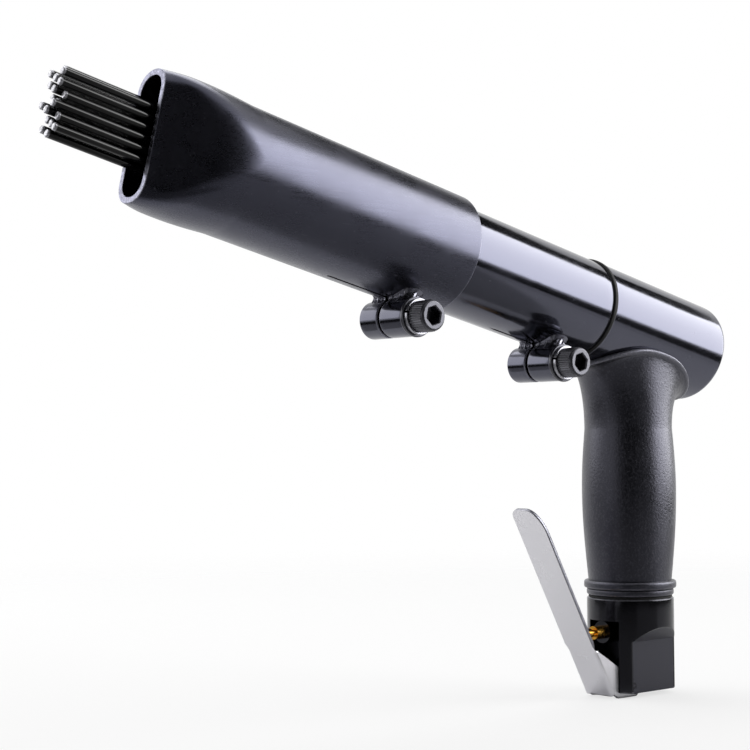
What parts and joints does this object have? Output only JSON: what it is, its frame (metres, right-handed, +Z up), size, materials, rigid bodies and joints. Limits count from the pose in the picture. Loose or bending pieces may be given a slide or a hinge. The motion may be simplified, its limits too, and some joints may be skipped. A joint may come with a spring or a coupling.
{
  "type": "needle scaler",
  "caption": "Pistol-grip pneumatic needle scaler: rubber grip, hinged throttle lever, two slit tubes held by screw clamps, and a bundle of steel needles in a flattened nozzle.",
  "frame": {"origin": "centre of the air inlet's mouth, in the bottom face of the valve block", "axes": "+Z up the handle, +X forward (the barrel points forward and 13 degrees up), +Y to the tool's left"},
  "size_m": [0.351, 0.0523, 0.2533],
  "materials": {
    "tube_black": "glossy black oxide",
    "grip_rubber": "matte, fine moulded grain",
    "seal_rubber": "satin",
    "block_black": "glossy black",
    "brass": "turned",
    "lever_steel": "bright zinc plate",
    "bright_steel": "ground",
    "screw_black": "black oxide",
    "needle_steel": "blackened drawn wire",
    "machined_steel": "turned",
    "spring_steel": "drawn wire"
  },
  "bodies": {
    "housing": {"pistol_body": "tube_black", "grip_sleeve": "grip_rubber", "head_ring": "seal_rubber", "block_seal": "seal_rubber", "valve_block": "block_black", "inlet_screen": "brass", "throttle_bush": "screw_black", "stem_seal": "seal_rubber", "valve_plug": "block_black", "lever_pin": "bright_steel", "valve_cap": "machined_steel", "valve_seat": "machined_steel", "cylinder": "machined_steel", "cylinder_seal": "seal_rubber", "rear_tube": "tube_black", "rear_clamp_lugs": "tube_black", "rear_clamp_screw": "screw_black", "rear_flat_washer": "screw_black", "rear_spring_washer": "bright_steel", "throttle_spring": "spring_steel", "needle_spring": "spring_steel"},
    "lever": {"throttle_lever": "lever_steel"},
    "throttle": {"throttle_stem": "brass", "throttle_poppet": "seal_rubber"},
    "valve": {"valve_disc": "bright_steel"},
    "piston": {"piston": "bright_steel"},
    "anvil": {"anvil": "bright_steel"},
    "needle_pack": {"needle_holder": "machined_steel", "needles": "needle_steel"},
    "front": {"front_tube": "tube_black", "front_clamp_lugs": "tube_black", "front_clamp_screw": "screw_black", "front_flat_washer": "screw_black", "front_spring_washer": "bright_steel"}
  },
  "joints": [
    {"name": "lever_squeeze", "type": "hinge", "parent": "housing", "child": "lever", "pos_m": [0.0133, 0, 0.0037], "axis": [0, -1, 0], "range_deg": [0, 10], "stiffness_Nm_per_rad": 2, "springref_deg": -8.59, "deforming": ["throttle_spring"]},
    {"name": "throttle_push", "type": "slide", "parent": "housing", "child": "throttle", "axis": [-1, 0, 0], "range_m": [0, 0.0056]},
    {"name": "valve_shuttle", "type": "slide", "parent": "housing", "child": "valve", "axis": [0.9744, 0, 0.225], "range_m": [0, 0.0008]},
    {"name": "piston_stroke", "type": "slide", "parent": "housing", "child": "piston", "axis": [0.9744, 0, 0.225], "range_m": [0, 0.036]},
    {"name": "needle_drive", "type": "slide", "parent": "housing", "child": "needle_pack", "axis": [0.9744, 0, 0.225], "range_m": [0, 0.01], "stiffness_N_per_m": 2000, "springref_m": -0.01, "deforming": ["needle_spring"]},
    {"name": "anvil_blow", "type": "slide", "parent": "housing", "child": "anvil", "axis": [0.9744, 0, 0.225], "range_m": [0, 0.01]},
    {"name": "front_tube_adjust", "type": "slide", "parent": "housing", "child": "front", "axis": [0.9744, 0, 0.225], "range_m": [-0.024, 0.02]}
  ],
  "couplings": [
    {"joint": "throttle_push", "follows": "lever_squeeze", "m_per_rad": 0.0317},
    {"joint": "anvil_blow", "follows": "needle_drive", "ratio": 1}
  ]
}
